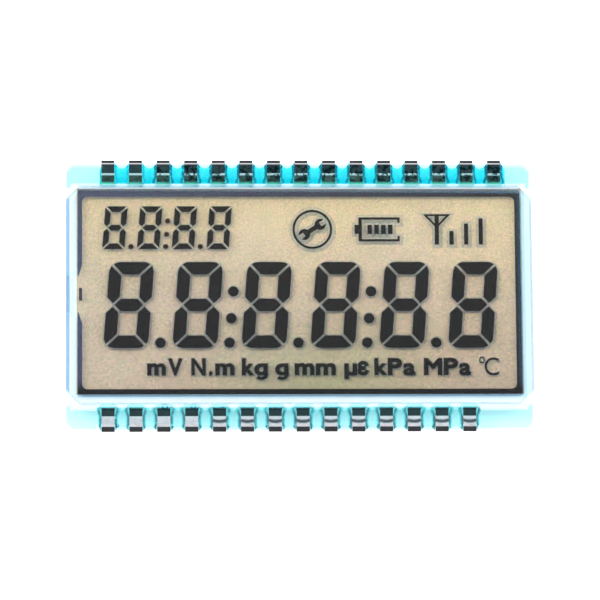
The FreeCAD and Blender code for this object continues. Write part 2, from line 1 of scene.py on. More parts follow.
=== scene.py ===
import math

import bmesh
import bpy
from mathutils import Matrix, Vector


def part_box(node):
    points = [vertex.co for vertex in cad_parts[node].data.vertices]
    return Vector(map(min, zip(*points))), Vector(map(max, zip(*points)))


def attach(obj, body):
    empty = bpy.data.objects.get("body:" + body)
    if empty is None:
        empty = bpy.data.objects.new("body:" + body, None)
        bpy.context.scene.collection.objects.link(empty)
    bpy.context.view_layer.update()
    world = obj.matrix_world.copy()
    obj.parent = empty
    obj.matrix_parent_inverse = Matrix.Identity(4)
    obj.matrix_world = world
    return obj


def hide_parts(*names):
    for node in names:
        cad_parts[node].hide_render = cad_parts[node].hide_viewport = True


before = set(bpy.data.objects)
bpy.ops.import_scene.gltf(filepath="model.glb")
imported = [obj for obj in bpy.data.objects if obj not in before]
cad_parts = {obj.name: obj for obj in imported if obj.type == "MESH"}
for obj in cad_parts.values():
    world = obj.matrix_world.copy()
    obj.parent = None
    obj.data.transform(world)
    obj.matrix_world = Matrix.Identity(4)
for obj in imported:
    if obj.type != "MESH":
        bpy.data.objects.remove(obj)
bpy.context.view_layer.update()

# %% [markdown]
# A small reflective display is two plates of glass with a liquid-crystal cell between them.
# The solids came in with the line above, in metres, each at its real place.
# This lesson gives every one of them a finish, and makes the glass, the resin and the
# lettering anew.

MM = 0.001


# %% [markdown]
# Colours are easier to name as a paint chart gives them, from 0 to 255.
# A shader wants light instead, so each chart value is turned into its share of the light.

# %% Turn a chart colour into light
def light_share(value):
    """The share of light that a chart value from 0 to 255 stands for."""
    part = value / 255
    return part / 12.92 if part <= 0.04045 else ((part + 0.055) / 1.055) ** 2.4


def chart(red, green, blue):
    return (light_share(red), light_share(green), light_share(blue), 1.0)


CLEAR = (1, 1, 1, 1)
print("mid grey sends back", round(chart(128, 128, 128)[0], 3), "of the light")


# %% [markdown]
# A finish is a small network of nodes. One helper starts an empty finish, another adds a
# node to it.
# A setting may be a number, or another node's output, and then the two are joined.

# %% Start a finish and add nodes to it
def new_finish(name):
    finish = bpy.data.materials.new(name)
    finish.use_nodes = True
    finish.node_tree.nodes.clear()
    return finish


def feed(finish, value, socket):
    """Joins a (node, output) to the socket, or sets the socket to a plain value."""
    if isinstance(value, tuple) and isinstance(value[0], bpy.types.Node):
        finish.node_tree.links.new(value[0].outputs[value[1]], socket)
    else:
        socket.default_value = value


def add(finish, kind, settings=None, **choices):
    node = finish.node_tree.nodes.new("ShaderNode" + kind)
    for choice, value in choices.items():
        setattr(node, choice, value)
    for name, value in (settings or {}).items():
        feed(finish, value, node.inputs[name])
    return node


def show(finish, shader):
    """Makes the shader the one that is seen."""
    add(finish, "OutputMaterial", {"Surface": (shader, 0)})
    return finish


def wear(piece, *finishes):
    """Takes off what finish a piece has and puts these on its slots."""
    piece.data.materials.clear()
    for finish in finishes:
        piece.data.materials.append(finish)


print("nodes to dress:", len(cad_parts))


# %% Mix colours, numbers and shaders
def blend_colours(finish, share, first, second, way="MIX"):
    """A colour that goes from the first to the second as the share goes from 0 to 1."""
    node = add(finish, "Mix", data_type="RGBA", blend_type=way)
    for socket, value in ((0, share), (6, first), (7, second)):
        feed(finish, value, node.inputs[socket])
    return (node, 2)


def blend_shaders(finish, share, first, second):
    return add(finish, "MixShader", {"Fac": share, 1: (first, 0), 2: (second, 0)})


def combine(finish, way, first, second=0.0):
    """Adds, multiplies or compares two numbers."""
    return (add(finish, "Math", {0: first, 1: second}, operation=way), 0)


def product(finish, first, second):
    return combine(finish, "MULTIPLY", first, second)


def grade(finish, value, start, stop, low=0.0, high=1.0):
    """Goes from low to high while the value goes from start to stop, and no further."""
    return (add(finish, "MapRange", {"Value": value, "From Min": start, "From Max": stop,
                                     "To Min": low, "To Max": high}), 0)


def band(finish, value, low, high, soft):
    """1 where the value lies between low and high, with soft ends, and 0 elsewhere."""
    return product(finish, grade(finish, value, low - soft, low + soft),
                   grade(finish, value, high + soft, high - soft))


print("a finish mixes colours, numbers and shaders")


# %% Read the place and the slope of a surface
def place(finish):
    """The place on the object, in metres."""
    return (add(finish, "TexCoord"), "Object")


def place_parts(finish):
    """The place, whole and split into x, y and z."""
    where = place(finish)
    split = add(finish, "SeparateXYZ", {"Vector": where})
    return where, (split, "X"), (split, "Y"), (split, "Z")


def looking_up(finish, start=0.4, stop=0.6):
    """1 on faces that look up and 0 on the others."""
    slope = add(finish, "SeparateXYZ", {"Vector": (add(finish, "NewGeometry"), "Normal")})
    return grade(finish, (slope, "Z"), start, stop)


def grain(finish, where, size, detail=3.0, rough=0.55):
    """A cloudy pattern whose clouds are about as large as the size, in mm."""
    return (add(finish, "TexNoise", {"Vector": where, "Scale": 1 / (size * MM), "Detail": detail,
                                     "Roughness": rough}), 0)


def stretched(finish, where, x, y, z):
    return (add(finish, "Mapping", {"Vector": where, "Scale": (x, y, z)}), 0)


def sheen_share(finish, straight=0.04):
    """How much a clear surface mirrors: little when seen straight on, much when seen along it."""
    tilt = add(finish, "LayerWeight", {"Blend": 0.5})
    return grade(finish, combine(finish, "POWER", (tilt, "Facing"), 5.0), 0.0, 1.0, straight, 1.0)


def tint_once(finish, tint, share):
    """Clear, and tinted only where the share is 1, so that one pane tints a ray once."""
    return add(finish, "BsdfTransparent", {"Color": blend_colours(finish, share, CLEAR, tint)})


print("a noise of 1 mm has the scale", round(1 / MM))

# %% [markdown]
# The films and the seal meet along lines that the display's looks depend on.
# Their places are read from the solids, so the finishes follow when a size changes.

# %% Read the main places
film_low, film_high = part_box("front_polariser")
rear_low, rear_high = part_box("rear_polariser")
plate_low, plate_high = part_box("front_glass")
base_low, base_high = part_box("rear_glass")
cell_low, cell_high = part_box("large_digit_1")
port_low, port_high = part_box("port_plug")
ledge = base_high.z
print("front film reaches", [round(v / MM, 2) for v in film_high], "mm")
print("ledge level", round(ledge / MM, 3), "mm")

# %% [markdown]
# The reflector is a foil with a fine satin grain that sits behind the rear polariser.
# Seen from the front the two work as one white, slightly sparkling screen, so the rear film
# is made opaque.
# Each grain sends back a little more or less light, and the mixture is what makes the
# display look alive.

# %% Screen: rear film with the foil behind it
screen = new_finish("reflecting_screen")
where = place(screen)
fine = grain(screen, where, 0.16, 5.0, 0.7)
cloud = grade(screen, grain(screen, where, 2.2, 3.0), 0.0, 1.0, 0.0, 0.35)
white = blend_colours(screen, fine, chart(236, 240, 242), chart(251, 253, 254))
white = blend_colours(screen, cloud, white, chart(243, 244, 243))
bump = add(screen, "Bump", {"Height": fine, "Strength": 0.12, "Distance": 0.01 * MM})
satin = add(screen, "BsdfPrincipled", {"Base Color": white, "Roughness": 0.55, "Normal": (bump, 0),
                                       "Specular IOR Level": 0.2})
wear(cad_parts["rear_polariser"], show(screen, satin))
print("screen finish on the rear film")

# %% [markdown]
# From behind, the reflector is what shows. It is rolled foil, so its grain runs along the display.
# A noise that is stretched along x gives those rolling marks, and a slow one makes its
# gloss uneven.

# %% Foil: the back of the reflector
foil = new_finish("satin_foil")
where = place(foil)
brushed = grain(foil, stretched(foil, where, 0.12, 1.0, 1.0), 0.12, 5.0, 0.65)
patch = grain(foil, where, 6.0)
silver = blend_colours(foil, brushed, chart(196, 198, 200), chart(222, 223, 224))
silver = blend_colours(foil, patch, silver, chart(205, 206, 210))
bump = add(foil, "Bump", {"Height": brushed, "Strength": 0.2, "Distance": 0.01 * MM})
metal = add(foil, "BsdfPrincipled", {"Base Color": silver, "Metallic": 0.85, "Normal": (bump, 0),
                                     "Roughness": grade(foil, patch, 0.0, 1.0, 0.3, 0.5)})
wear(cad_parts["reflector"], show(foil, metal))
print("foil finish on the reflector")

# %% [markdown]
# The front polariser gives a reflective display its warm grey-beige colour.
# It is not even: its tint is lighter at the top, darker towards the bottom and darker and greener
# low in the middle, and a fine mottle lies over it.
# The slow part is a few tints that blend from one place to the next, each with a left and a
# right end.
# Only its top face tints the light, so that a ray is not coloured twice by one film.

# %% Front film: its slow colour
FILM_TOP = ((0.858, 0.750, 0.590, 1), (0.871, 0.759, 0.590, 1))
FILM_MIDDLE = ((0.805, 0.711, 0.604, 1), (0.802, 0.702, 0.596, 1))
FILM_LOW = ((0.766, 0.665, 0.557, 1), (0.693, 0.603, 0.527, 1))
FILM_GREEN = (0.622, 0.596, 0.465, 1)
film = new_finish("front_film")
where, x, y, z = place_parts(film)
across = grade(film, x, film_low.x, film_high.x)
up = grade(film, y, film_low.y, film_high.y)
top_tint, middle_tint, low_tint = [blend_colours(film, across, left, right)
                                   for left, right in (FILM_TOP, FILM_MIDDLE, FILM_LOW)]
low_tint = blend_colours(film, band(film, across, 0.38, 0.72, 0.16), low_tint, FILM_GREEN)
tint = blend_colours(film, grade(film, up, 0.0, 0.45), low_tint, middle_tint)
tint = blend_colours(film, grade(film, up, 0.45, 0.9), tint, top_tint)
print("film tint blends from", FILM_LOW[0][:3], "to", FILM_TOP[1][:3])

# %% Front film: its mottle
MOTTLES = (
    (15.0, 1.0, (0.980, 0.990, 1.012, 1), (1.020, 1.002, 0.988, 1)),
    (2.2, 3.0, (0.978, 0.980, 0.984, 1), (1.022, 1.018, 1.012, 1)),
    (0.60, 2.0, (1.032, 0.982, 1.012, 1), (0.974, 1.008, 0.978, 1)),
    (0.24, 2.0, (0.935, 0.945, 1.030, 1), (1.060, 1.040, 0.935, 1)),
    (0.13, 2.0, (0.935, 0.935, 0.940, 1), (1.065, 1.060, 1.060, 1)),
)
for number, (size, detail, one, other) in enumerate(MOTTLES):
    apart = add(film, "Mapping", {"Vector": where, "Location": (0.02 * number, 0.05 * number, 0)})
    share = grade(film, grain(film, (apart, 0), size, detail, 0.6), 0.32, 0.68)
    tint = blend_colours(film, 1.0, tint, blend_colours(film, share, one, other), "MULTIPLY")
through = add(film, "BsdfTransparent", {"Color": tint})
gleam = add(film, "BsdfAnisotropic", {"Roughness": 0.22, "Color": CLEAR})
front = blend_shaders(film, sheen_share(film, 0.016), through, gleam)
cut = add(film, "BsdfPrincipled", {"Base Color": chart(150, 158, 164), "Roughness": 0.4})
under_face = add(film, "BsdfTransparent", {"Color": CLEAR})
whole = blend_shaders(film, looking_up(film), cut, front)
whole = blend_shaders(film, looking_up(film, -0.4, -0.6), whole, under_face)
wear(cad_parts["front_polariser"], show(film, whole))
print("mottle sizes in mm:", [mottle[0] for mottle in MOTTLES])

# %% [markdown]
# The liquid crystal itself is clear. What little colour it adds drifts with the depth of the cell.
# So its finish lets everything through, and tints it by a hair in slow clouds.

# %% Liquid crystal
crystal = new_finish("liquid_crystal_layer")
drift = grain(crystal, place(crystal), 18.0, 1.0)
faint = blend_colours(crystal, drift, (1.0, 0.975, 0.985, 1), (0.985, 1.0, 0.975, 1))
show(crystal, tint_once(crystal, faint, looking_up(crystal)))
wear(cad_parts["liquid_crystal"], crystal)
print("liquid crystal between", round(cell_low.z / MM, 3), "mm and the front plate")

# %% [markdown]
# The seal is a printed run of epoxy that glues the plates. It is clear, yet it looks dark
# under the front film.
# There the light meets two crossed polarisers with nothing between them that could turn it.
# Outside the film the same epoxy is only a pale line, so its finish changes at the film's edge.
# Along the film's top and bottom edges runs a bluish band of painted shadow, the shadow of the
# film's edge.
# Beside the filling port the two ends of the run taper, and a small island of epoxy stands
# between them.

# %% Seal: where it looks dark
FAR = 1.0
SOFT = 0.03 * MM
DARK_START = 0.10 * MM
DARK_FOOT = 0.22 * MM
FILM_SHADOW_TOP = 0.22 * MM
UPPER_LEAN = 0.26 * MM
TAPER = 1.3 * MM
seal = new_finish("seal_run")
where, x, y, z = place_parts(seal)
right = grade(seal, x, film_low.x, film_high.x)
under_x = band(seal, x, film_low.x + DARK_START, film_high.x, SOFT)
leaning = combine(seal, "ADD", y, product(seal, right, UPPER_LEAN))
under_y = product(seal, band(seal, y, film_low.y + DARK_FOOT, FAR, 0.05 * MM),
                  band(seal, leaning, -FAR, film_high.y + 0.05 * MM, 0.08 * MM))
left_run = band(seal, x, -FAR, 0.0, SOFT)
from_middle = combine(seal, "SUBTRACT", y, (port_low.y + port_high.y) / 2)
from_port = combine(seal, "SUBTRACT", combine(seal, "ABSOLUTE", from_middle),
                    (port_high.y - port_low.y) / 2)
slant = grade(seal, from_port, 0.0, TAPER, film_low.x + 0.16 * MM, film_low.x + 0.56 * MM)
past_slant = grade(seal, combine(seal, "SUBTRACT", x, slant), -SOFT, SOFT)
tapered = product(seal, product(seal, left_run, past_slant),
                  band(seal, from_port, -0.02 * MM, TAPER, 0.02 * MM))
kept_share = combine(seal, "SUBTRACT", 1.0, tapered)
under = product(seal, product(seal, under_x, under_y), kept_share)
# The fringe band along the film's top and bottom edges, reaching past the top edge, is a painted
# shadow of the film's edge.
fringe = product(seal, product(seal, under_x, kept_share),
                 band(seal, y, film_low.y - 0.02 * MM, film_high.y + FILM_SHADOW_TOP, 0.05 * MM))
at_port = product(seal, left_run, grade(seal, from_port, 0.0, -0.04 * MM))
print("filling port", round((port_high.y - port_low.y) / MM, 2), "mm wide")

# %% Seal: its colours
lower = grade(seal, y, film_low.y + 1.6 * MM, film_low.y + 0.6 * MM)
dark = blend_colours(seal, right, (0.116, 0.172, 0.410, 1), (0.040, 0.048, 0.070, 1))
blue_strip = band(seal, x, film_high.x - 0.25 * MM, FAR, 0.05 * MM)
for share, colour in ((blue_strip, (0.024, 0.125, 0.290, 1)), (lower, (0.016, 0.022, 0.032, 1)),
                      (at_port, (0.10, 0.125, 0.200, 1))):
    dark = blend_colours(seal, share, dark, colour)
deeper = blend_colours(seal, 1.0, dark, (0.45, 0.5, 0.6, 1), "MULTIPLY")
dark = blend_colours(seal, grain(seal, where, 0.3, 3.0), dark, deeper)
epoxy = add(seal, "BsdfPrincipled", {"Base Color": dark, "Roughness": 0.5,
                                     "Specular IOR Level": 0.1})
pale = add(seal, "BsdfTransparent", {"Color": (0.95, 0.98, 0.99, 1)})
# The colour of the painted shadow of the film's edge: bluer along the top, paler along the bottom.
film_shadow_tint = blend_colours(seal, lower, (0.44, 0.58, 0.82, 1), (0.66, 0.80, 0.88, 1))
outer = blend_shaders(seal, fringe, pale, add(seal, "BsdfTransparent", {"Color": film_shadow_tint}))
wear(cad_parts["perimeter_seal"], show(seal, blend_shaders(seal, under, outer, epoxy)))
print("seal finished")

# %% [markdown]
# Once the cell is full its port is shut with a drop of resin, which cures with a few
# streaks in it.
# A half-clear finish with a cloudy colour is enough for so small a drop.

# %% Plug in the filling port
plug = new_finish("port_resin")
murk = grain(plug, place(plug), 0.5, 3.0)
cloudy = blend_colours(plug, murk, chart(236, 250, 252), chart(205, 238, 246))
drop = add(plug, "BsdfPrincipled", {"Base Color": cloudy, "Roughness": 0.25, "Alpha": 0.40})
wear(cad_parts["port_plug"], show(plug, drop))
print("plug finished")


# %% [markdown]
# A segment that is switched on turns nearly black. It is not quite even: blue, green and
# brown lie in it.
# Three dark tones are mixed by a coarse and a fine noise. The smallest points lean towards red.

# %% Segments
def dark_finish(name, cool, warm, leafy):
    finish = new_finish(name)
    where = place(finish)
    share = grade(finish, grain(finish, where, 1.4, 2.0), 0.35, 0.65)
    fine = grain(finish, where, 0.15, 3.0, 0.7)
    black = blend_colours(finish, fine, blend_colours(finish, share, cool, warm), leafy)
    return show(finish, add(finish, "BsdfPrincipled", {"Base Color": black, "Roughness": 0.7,
                                                       "Specular IOR Level": 0.1}))


segment = dark_finish("dark_segment", (0.008, 0.012, 0.022, 1), (0.018, 0.010, 0.020, 1),
                      (0.010, 0.016, 0.012, 1))
small_point = dark_finish("reddish_point", (0.020, 0.008, 0.010, 1), (0.050, 0.016, 0.010, 1),
                          (0.030, 0.014, 0.008, 1))
SEGMENT_PARTS = ("digit", "point", "colon", "symbol")
segment_nodes = [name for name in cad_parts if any(part in name for part in SEGMENT_PARTS)]
for name in segment_nodes:
    reddish = "small" in name and "digit" not in name
    wear(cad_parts[name], small_point if reddish else segment)
print("segments finished:", len(segment_nodes))


# %% [markdown]
# The unit signs under the digits are more segments of the same cell.
# They are words, so they start as text, are thickened a little into bold, and become meshes.
# Each one is then stretched to the width that it has on the display and laid in the cell.

# %% Choose parts of a piece
def clear_choice():
    for other in list(bpy.context.selected_objects):
        other.select_set(False)


def pick(piece, kind, test=lambda middle, part: True):
    """Goes into edit mode with only those parts chosen whose middle passes the test."""
    clear_choice()
    bpy.context.view_layer.objects.active = piece
    piece.select_set(True)
    bpy.ops.object.mode_set(mode="EDIT")
    bpy.ops.mesh.select_mode(type=kind)
    bpy.ops.mesh.select_all(action="DESELECT")
    mesh = bmesh.from_edit_mesh(piece.data)
    chosen = 0
    for part in {"VERT": mesh.verts, "EDGE": mesh.edges, "FACE": mesh.faces}[kind]:
        if kind == "VERT":
            middle = part.co
        elif kind == "EDGE":
            middle = (part.verts[0].co + part.verts[1].co) / 2
        else:
            middle = part.calc_center_median()
        if test(middle, part):
            part.select_set(True)
            chosen += 1
    mesh.select_flush_mode()
    bmesh.update_edit_mesh(piece.data)
    return chosen


def leave():
    bpy.ops.object.mode_set(mode="OBJECT")


def turn_outwards():
    """Ends edit mode with every face of the piece pointing out."""
    bpy.ops.mesh.select_all(action="SELECT")
    bpy.ops.mesh.normals_make_consistent(inside=False)
    leave()


def join(pieces):
    """Makes the pieces one, which keeps the first one's data."""
    clear_choice()
    for piece in pieces:
        piece.select_set(True)
    bpy.context.view_layer.objects.active = pieces[0]
    if len(pieces) > 1:
        bpy.ops.object.join()
    return bpy.context.object


def extent(piece, axis):
    along = [vertex.co[axis] for vertex in piece.data.vertices]
    return min(along), max(along)


print("meshes that parts can be picked on:", len(bpy.data.meshes))


# %% A letter as a flat mesh
BASELINE = -7.41
CAP_HEIGHT = 1.62
BOLD = 0.095


def glyph(sign):
    """One letter as a flat mesh in type of size 1."""
    clear_choice()
    bpy.ops.object.text_add(location=(0, 0, 0))
    piece = bpy.context.object
    piece.data.body = sign
    piece.data.resolution_u = 5
    bpy.ops.object.convert(target="MESH")
    pick(piece, "VERT")
    bpy.ops.mesh.remove_doubles(threshold=0.0005)
    leave()
    return piece


capital = glyph("H")
TYPE_SIZE = CAP_HEIGHT * MM / (extent(capital, 1)[1] - extent(capital, 1)[0])
bpy.data.objects.remove(capital)
print("type size in mm:", round(TYPE_SIZE / MM, 2))


# %% Thicken an outline
SHARPEST = 1.35


def embolden(piece, weight):
    """Moves the outline outwards by the weight, without the long spikes of a true offset."""
    mesh = bmesh.new()
    mesh.from_mesh(piece.data)
    moves = {}
    for vertex in mesh.verts:
        rims = [edge for edge in vertex.link_edges if len(edge.link_faces) == 1]
        if len(rims) != 2:
            continue
        outward = Vector((0, 0, 0))
        for edge in rims:
            run = (edge.verts[1].co - edge.verts[0].co).normalized()
            across = Vector((run.y, -run.x, 0))
            inside = edge.link_faces[0].calc_center_median() - edge.verts[0].co
            outward += across if across.dot(inside) < 0 else -across
        if outward.length > 0.1:
            bend = outward.length / 2
            moves[vertex] = outward.normalized() * weight * min(1 / bend, SHARPEST)
    for vertex, move in moves.items():
        vertex.co += move
    mesh.to_mesh(piece.data)
    mesh.free()


print("a corner moves by at most", SHARPEST, "times the weight")

# %% The letter g
HOOK_SHARE, HOOK_DEPTH, HOOK_FIT = 0.45, 0.31, 0.02


def cut_away(piece, point, normal, keep_outer):
    pick(piece, "VERT")
    bpy.ops.mesh.bisect(plane_co=point, plane_no=normal, clear_inner=keep_outer,
                        clear_outer=not keep_outer)
    leave()


def hooked_g():
    """A g with one bowl: the bowl and stem of a q, and for its hook the lower part of an o."""
    bowl, hook = glyph("q"), glyph("o")
    cut = HOOK_SHARE * extent(hook, 1)[1]
    cut_away(bowl, (0, 0, 0), (0, 1, 0), True)
    cut_away(hook, (0, cut, 0), (0, 1, 0), False)
    left, right = extent(hook, 0)
    stem = extent(bowl, 0)[1]
    cut_away(hook, (left, 0.30 * cut, 0), (-0.70 * cut, 0.5 * (right - left), 0), False)
    wide = (stem + HOOK_FIT - extent(bowl, 0)[0]) / (right - left)
    flat = HOOK_DEPTH * (CAP_HEIGHT * MM / TYPE_SIZE) / cut
    hook.data.transform(Matrix.Translation((stem + HOOK_FIT, 0, 0))
                        @ Matrix.Diagonal((wide, flat, 1, 1))
                        @ Matrix.Translation((-right, -cut, 0)))
    embolden(hook, -HOOK_FIT)
    return join([bowl, hook])


print("the hook of a g hangs", round(HOOK_DEPTH * CAP_HEIGHT, 2), "mm below the line")


# %% Lay the letters in the cell
SIGNS = {
    "mV": (("m", -13.97, -12.25), ("V", -12.07, -10.73)),
    "Nm": (("N", -9.94, -8.61), (".", -8.33, -7.99), ("m", -7.75, -5.98)),
    "kg": (("k", -5.32, -4.21), ("g", -4.18, -2.93)),
    "g": (("g", -2.27, -1.03),),
    "mm": (("m", -0.48, 1.34), ("m", 1.45, 3.29)),
    "microstrain": (("\u03bc", 4.06, 5.25), ("\u03b5", 5.28, 6.31)),
    "kPa": (("k", 6.82, 7.99), ("P", 8.05, 9.38), ("a", 9.46, 10.60)),
    "MPa": (("M", 11.37, 13.06), ("P", 13.19, 14.52), ("a", 14.60, 15.71)),
    "celsius": (("\u00b0", 16.45, 16.98), ("C", 16.95, 18.25)),
}


def letter(sign, left, right, weight):
    """One letter in the cell, as wide as on the display; left, right and weight are in mm."""
    piece = hooked_g() if sign == "g" else glyph(sign)
    tall = TYPE_SIZE * (1 - 2 * weight / CAP_HEIGHT)
    piece.data.transform(Matrix.Diagonal((TYPE_SIZE, tall, 1, 1)))
    low, high = extent(piece, 0)
    widen = ((right - left - 2 * weight) * MM) / (high - low)
    piece.data.transform(Matrix.Diagonal((widen, 1, 1, 1)) @ Matrix.Translation((-low, 0, 0)))
    if weight:
        embolden(piece, weight * MM)
    corner = ((left + weight) * MM, (BASELINE + weight) * MM, cell_low.z)
    piece.data.transform(Matrix.Translation(corner))
    pick(piece, "FACE")
    depth = cell_high.z - cell_low.z
    bpy.ops.mesh.extrude_region_move(TRANSFORM_OT_translate={"value": (0, 0, depth)})
    turn_outwards()
    return piece


def sign_piece(name, letters, weight):
    piece = join([letter(sign, left, right, weight) for sign, left, right in letters])
    piece.name = "unit_" + name
    wear(piece, segment)
    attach(piece, "root")
    return piece


unit_pieces = []
for name, letters in SIGNS.items():
    piece = sign_piece(name, letters, 0.0 if name == "celsius" else BOLD)
    unit_pieces.append(piece)
    print(piece.name, "faces", len(piece.data.polygons))


# %% [markdown]
# Round each dark segment lies a grey-blue rim of painted shadow. It stands for the shade that the
# segment casts on the screen below, and it is shifted a little right and down, the way that shade
# falls. A copy of each segment's top is grown by the rim's width and laid just under the top.
# Each grown patch lies a hair above the last, so that patches which overlap never share a plane.

# %% Painted segment shadow: its finish
segment_shadow = new_finish("painted_segment_shadow")
drift = grain(segment_shadow, place(segment_shadow), 0.8, 2.0)
# A bluish grey tint, the colour of the painted shadow round each segment.
faint = blend_colours(segment_shadow, drift, (0.868, 0.928, 1.0, 1), (0.892, 0.942, 1.0, 1))
show(segment_shadow, tint_once(segment_shadow, faint, looking_up(segment_shadow)))
print("halo finish made")


# %% Painted segment shadow: grown copies of the segments' tops
# The painted shadow is shifted a little right and down, the way the segments' shade falls.
SHADOW_SHIFT = Vector((0.04, -0.05, 0)) * MM
FIRST_LEVEL, LEVEL_STEP, LEVELS = 0.0020, 0.0003, 12
SHADOW_DEPTH = 0.00015 * MM


def patches(mesh):
    """The groups of faces that hang together."""
    left, groups = set(mesh.faces), []
    while left:
        group, edge_on = set(), [min(left, key=lambda face: face.index)]
        while edge_on:
            face = edge_on.pop()
            if face in left:
                left.discard(face)
                group.add(face)
                edge_on += [other for edge in face.edges for other in edge.link_faces
                            if other in left]
        groups.append(group)
    return groups


def grown_top(piece, weight, first):
    """A copy of a segment's top, grown by the weight in mm, each patch on its own level."""
    copy = piece.copy()
    copy.data = piece.data.copy()
    bpy.context.scene.collection.objects.link(copy)
    pick(copy, "VERT")
    bpy.ops.mesh.remove_doubles(threshold=0.0005 * MM)
    leave()
    pick(copy, "FACE", lambda middle, face: face.normal.z < 0.9)
    bpy.ops.mesh.delete(type="FACE")
    leave()
    embolden(copy, weight * MM)
    mesh = bmesh.new()
    mesh.from_mesh(copy.data)
    mesh.faces.ensure_lookup_table()
    for number, group in enumerate(patches(mesh)):
        level = FIRST_LEVEL + LEVEL_STEP * ((first + number) % LEVELS)
        for vertex in {vertex for face in group for vertex in face.verts}:
            vertex.co += SHADOW_SHIFT
            vertex.co.z = cell_low.z + level * MM
    mesh.to_mesh(copy.data)
    mesh.free()
    return copy


segment_shadows = []
for name in segment_nodes:
    weight = 0.30 if "symbol" in name else 0.11 if "small" in name else 0.17
    segment_shadows.append(grown_top(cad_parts[name], weight, len(segment_shadows)))
for piece in unit_pieces:
    segment_shadows.append(grown_top(piece, 0.10, len(segment_shadows)))
shadow_piece = join(segment_shadows)
shadow_piece.name = "painted_segment_shadows"
shadow_piece.parent = None
pick(shadow_piece, "FACE")
bpy.ops.mesh.extrude_region_move(TRANSFORM_OT_translate={"value": (0, 0, -SHADOW_DEPTH)})
turn_outwards()
wear(shadow_piece, segment_shadow)
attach(shadow_piece, "root")
print("halo faces", len(shadow_piece.data.polygons))


# %% [markdown]
# The two plates are float glass, scored, broken and ground at the corners.
# Glass is made see-through here, and its mint and blue tones are zones of tint on its upper face.
# Real glass would bend the light too, but in plates as thin as these that shows only at the edges.

# %% Glass: the faces
def glass_face(name, zones, covered):
    """Clear glass with tinted zones, each (tint, low x, high x, low y, high y, softness).
    Where it is covered it is bonded to the next layer, so it mirrors nothing there."""
    finish = new_finish(name)
    where, x, y, z = place_parts(finish)
    colour = blend_colours(finish, grain(finish, where, 9.0, 2.0), (0.99, 1.0, 1.0, 1), CLEAR)
    for tint, x_low, x_high, y_low, y_high, soft in zones:
        zone = product(finish, band(finish, x, x_low, x_high, soft),
                       band(finish, y, y_low, y_high, soft))
        colour = blend_colours(finish, zone, colour, tint)
    upward = looking_up(finish)
    through = tint_once(finish, colour, upward)
    shine = add(finish, "BsdfAnisotropic", {"Roughness": 0.03, "Color": CLEAR})
    bonded = product(finish, band(finish, x, covered[0].x, covered[1].x, 0.01 * MM),
                     band(finish, y, covered[0].y, covered[1].y, 0.01 * MM))
    open_face = product(finish, upward, combine(finish, "SUBTRACT", 1.0, bonded))
    share = product(finish, sheen_share(finish), open_face)
    return show(finish, blend_shaders(finish, share, through, shine))


front_ends = (plate_low.y, plate_high.y)
plate_zones = (
    ((0.57, 0.67, 0.78, 1), -FAR, plate_low.x + 0.36 * MM, *front_ends, 0.06 * MM),
    ((0.66, 0.72, 0.78, 1), plate_high.x - 0.14 * MM, FAR, *front_ends, 0.03 * MM),
    ((0.87, 0.975, 1.0, 1), film_high.x, plate_high.x - 0.2 * MM, *front_ends, 0.08 * MM),
)
plate_face = glass_face("plate_face", plate_zones, (film_low, film_high))
print("front plate zones:", len(plate_zones))

# %% Glass: the rear plate's face, seen on the ledges
bead_low, bead_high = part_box("resin_bead_bottom")
base_zones = (
    ((0.67, 0.95, 0.95, 1), -FAR, FAR, -FAR, FAR, 0.02 * MM),
    ((0.56, 0.94, 0.95, 1), -FAR, FAR, 0.0, FAR, 0.02 * MM),
    ((0.80, 0.97, 0.98, 1), bead_low.x, bead_high.x, bead_low.y, bead_high.y, 0.06 * MM),
    ((0.90, 0.98, 1.0, 1), -FAR, FAR, *front_ends, 0.10 * MM),
    ((0.96, 1.0, 1.0, 1), rear_low.x, rear_high.x, rear_low.y, rear_high.y, 0.03 * MM),
)
base_face = glass_face("base_face", base_zones, (plate_low, plate_high))
print("rear plate zones:", len(base_zones))


# %% Glass: the cut edges
def glass_edge(name, deep, bright, frosting):
    """A cut edge: bluish, streaked along the cut, part clear and part frosted."""
    finish = new_finish(name)
    streak = grain(finish, stretched(finish, place(finish), 1.0, 1.0, 6.0), 1.2, 4.0, 0.6)
    colour = blend_colours(finish, grade(finish, streak, 0.35, 0.65), deep, bright)
    frost = add(finish, "BsdfPrincipled", {"Base Color": colour, "Roughness": 0.25})
    through = add(finish, "BsdfTransparent", {"Color": (0.93, 0.98, 1.0, 1)})
    return show(finish, blend_shaders(finish, frosting, through, frost))


cut_edge = glass_edge("cut_glass_edge", chart(150, 190, 222), chart(214, 234, 244), 0.45)
pale_edge = glass_edge("pale_glass_edge", chart(196, 240, 244), chart(226, 250, 252), 0.22)
print("glass finishes made")

# %% [markdown]
# Each plate starts as a block, gets its corners cut and then a fine ground bevel round both faces.
# They are made a few micrometres thinner than the gap, so that no two surfaces lie in one plane.
# The bevels get the finish of the cut edge, and only the two flat sides that of the clear face.

# %% Glass plates
AIR = 0.002 * MM
GROUND = 0.05 * MM
FRONT_CORNER, REAR_CORNER = 0.9, 0.4


